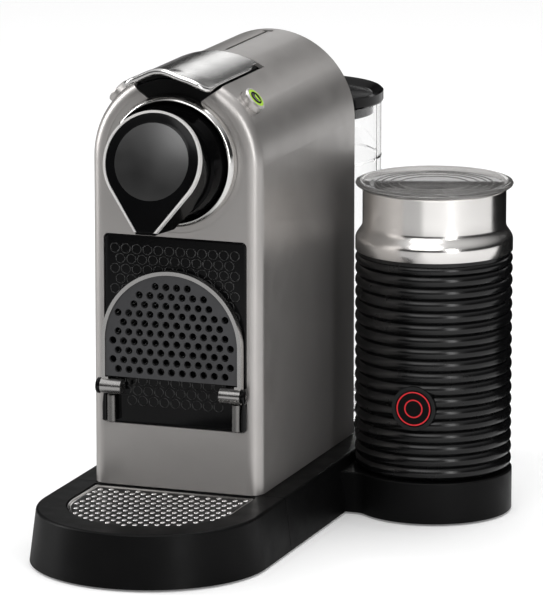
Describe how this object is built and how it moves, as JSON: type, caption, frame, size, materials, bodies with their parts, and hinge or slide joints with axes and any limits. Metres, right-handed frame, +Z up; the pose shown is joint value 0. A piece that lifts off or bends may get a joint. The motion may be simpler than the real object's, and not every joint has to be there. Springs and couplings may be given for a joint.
{
  "type": "pod coffee machine",
  "caption": "Compact pod coffee machine with an arched silver body, lift-up lever, teardrop spout, drip tray, rear water tank and a ribbed milk frother at its side.",
  "frame": {"origin": "middle of the footprint at table height, under the rubber feet", "axes": "+Z up, the cup side and the drip tray face -Y, the water tank is at +Y and the milk frother is at +X"},
  "size_m": [0.2272, 0.373, 0.2784],
  "materials": {
    "silver_shell": "satin metallic silver paint on moulded plastic",
    "silver_button": "satin metallic silver",
    "black_satin": "satin black moulded plastic",
    "black_gloss": "high gloss black",
    "jug_black": "semi gloss black",
    "grey_plastic": "moulded grey",
    "dark_grey": "dark satin metal",
    "bright_chrome": "bright plated",
    "grid_chrome": "bright plated over embossed dots",
    "polished_steel": "polished",
    "brushed_pot": "brushed",
    "zinc_steel": "plain steel",
    "cast_aluminium": "as cast",
    "magnet_grey": "coated",
    "circuit_board": "lacquered board",
    "soft_hose": "translucent silicone",
    "soft_rubber": "matt rubber",
    "clear_tank": "clear plastic",
    "smoky_lid": "smoky clear plastic",
    "green_light": "lit green ring",
    "red_light": "lit red ring"
  },
  "bodies": {
    "root": {"base_body": "black_satin", "body_shell": "silver_shell", "brew_frame": "grey_plastic", "cable_gland": "soft_rubber", "case_screws": "zinc_steel", "chassis": "grey_plastic", "coffee_outlet": "zinc_steel", "control_board": "circuit_board", "flow_meter": "grey_plastic", "frother_plinth": "black_satin", "head_barrel": "black_gloss", "head_ring": "bright_chrome", "lever_axle": "zinc_steel", "lever_well": "black_satin", "nose_bezel": "bright_chrome", "nose_body": "black_gloss", "nose_face": "black_gloss", "piercing_plate": "zinc_steel", "power_connector": "black_satin", "pump": "grey_plastic", "rear_panel": "black_satin", "rubber_feet": "soft_rubber", "tank_socket": "black_satin", "thermoblock": "cast_aluminium", "underside_cover": "black_satin", "water_hoses": "soft_hose"},
    "lever": {"lever_plate": "bright_chrome", "lever_frame": "black_satin"},
    "cage": {"capsule_cage": "grey_plastic", "cage_carriage": "black_satin"},
    "small_button": {"coffee_button_small": "silver_button", "light_ring_small": "green_light"},
    "large_button": {"coffee_button_large": "silver_button", "light_ring_large": "green_light"},
    "capsule_drawer": {"front_panel": "black_gloss", "capsule_container": "black_satin", "support_brackets": "bright_chrome", "support_pins": "zinc_steel"},
    "cup_support": {"support_frame": "bright_chrome", "support_grid": "dark_grey"},
    "tray": {"drip_tray": "black_satin"},
    "grid": {"drip_grid": "grid_chrome"},
    "tank": {"water_tank": "clear_tank", "valve_cap": "grey_plastic", "valve_spring": "zinc_steel"},
    "tank_valve": {"tank_valve": "black_satin"},
    "tank_lid": {"tank_lid": "black_gloss"},
    "jug": {"jug_body": "jug_black", "jug_band": "polished_steel", "jug_pot": "brushed_pot", "whisk_motor": "zinc_steel", "jug_heater": "cast_aluminium", "jug_bezel": "jug_black"},
    "drive_wheel": {"drive_magnet": "magnet_grey"},
    "whisk": {"whisk": "black_satin"},
    "jug_button": {"jug_button": "black_satin", "jug_button_light": "red_light"},
    "jug_lid": {"jug_lid": "smoky_lid", "jug_lid_seal": "soft_rubber", "lid_clip": "black_satin"}
  },
  "joints": [
    {"name": "lever_hinge", "type": "hinge", "parent": "root", "child": "lever", "pos_m": [-0.0446, -0.0135, 0.2645], "axis": [-1, 0, 0], "range_deg": [0, 80]},
    {"name": "cage_slide", "type": "slide", "parent": "root", "child": "cage", "axis": [0, 1, 0], "range_m": [0, 0.03]},
    {"name": "small_button_press", "type": "slide", "parent": "root", "child": "small_button", "axis": [0.7547, 0, -0.6561], "range_m": [0, 0.0015], "stiffness_N_per_m": 800, "springref_m": -0.001},
    {"name": "large_button_press", "type": "slide", "parent": "root", "child": "large_button", "axis": [-0.7547, 0, -0.6561], "range_m": [0, 0.0015], "stiffness_N_per_m": 800, "springref_m": -0.001},
    {"name": "drawer_slide", "type": "slide", "parent": "root", "child": "capsule_drawer", "axis": [0, -1, 0], "range_m": [0, 0.1]},
    {"name": "cup_support_hinge", "type": "hinge", "parent": "capsule_drawer", "child": "cup_support", "pos_m": [-0.0446, -0.0845, 0.0915], "axis": [1, 0, 0], "range_deg": [0, 90]},
    {"name": "tray_slide", "type": "slide", "parent": "root", "child": "tray", "axis": [0, -1, 0], "range_m": [0, 0.065]},
    {"name": "grid_lift", "type": "slide", "parent": "tray", "child": "grid", "axis": [0, 0, 1], "range_m": [0, 0.03]},
    {"name": "tank_lift", "type": "slide", "parent": "root", "child": "tank", "axis": [0, 0, 1], "range_m": [0, 0.25]},
    {"name": "tank_valve_lift", "type": "slide", "parent": "tank", "child": "tank_valve", "axis": [0, 0, 1], "range_m": [0, 0.003], "stiffness_N_per_m": 200, "springref_m": -0.004, "deforming": ["valve_spring"]},
    {"name": "tank_lid_lift", "type": "slide", "parent": "tank", "child": "tank_lid", "axis": [0, 0, 1], "range_m": [0, 0.06]},
    {"name": "jug_lift", "type": "slide", "parent": "root", "child": "jug", "axis": [0, 0, 1], "range_m": [0, 0.25]},
    {"name": "jug_lid_lift", "type": "slide", "parent": "jug", "child": "jug_lid", "axis": [0, 0, 1], "range_m": [0, 0.06]},
    {"name": "drive_spin", "type": "hinge", "parent": "jug", "child": "drive_wheel", "pos_m": [0.0671, 0.0525, 0.056], "axis": [0, 0, 1], "continuous": true},
    {"name": "whisk_spin", "type": "hinge", "parent": "jug", "child": "whisk", "pos_m": [0.0671, 0.0525, 0.064], "axis": [0, 0, 1], "continuous": true},
    {"name": "jug_button_press", "type": "slide", "parent": "jug", "child": "jug_button", "axis": [-0.0698, 0.9976, 0], "range_m": [0, 0.0008], "stiffness_N_per_m": 800, "springref_m": -0.001}
  ],
  "couplings": [
    {"joint": "cage_slide", "follows": "lever_hinge", "m_per_rad": 0.021485},
    {"joint": "whisk_spin", "follows": "drive_spin", "ratio": 1}
  ]
}
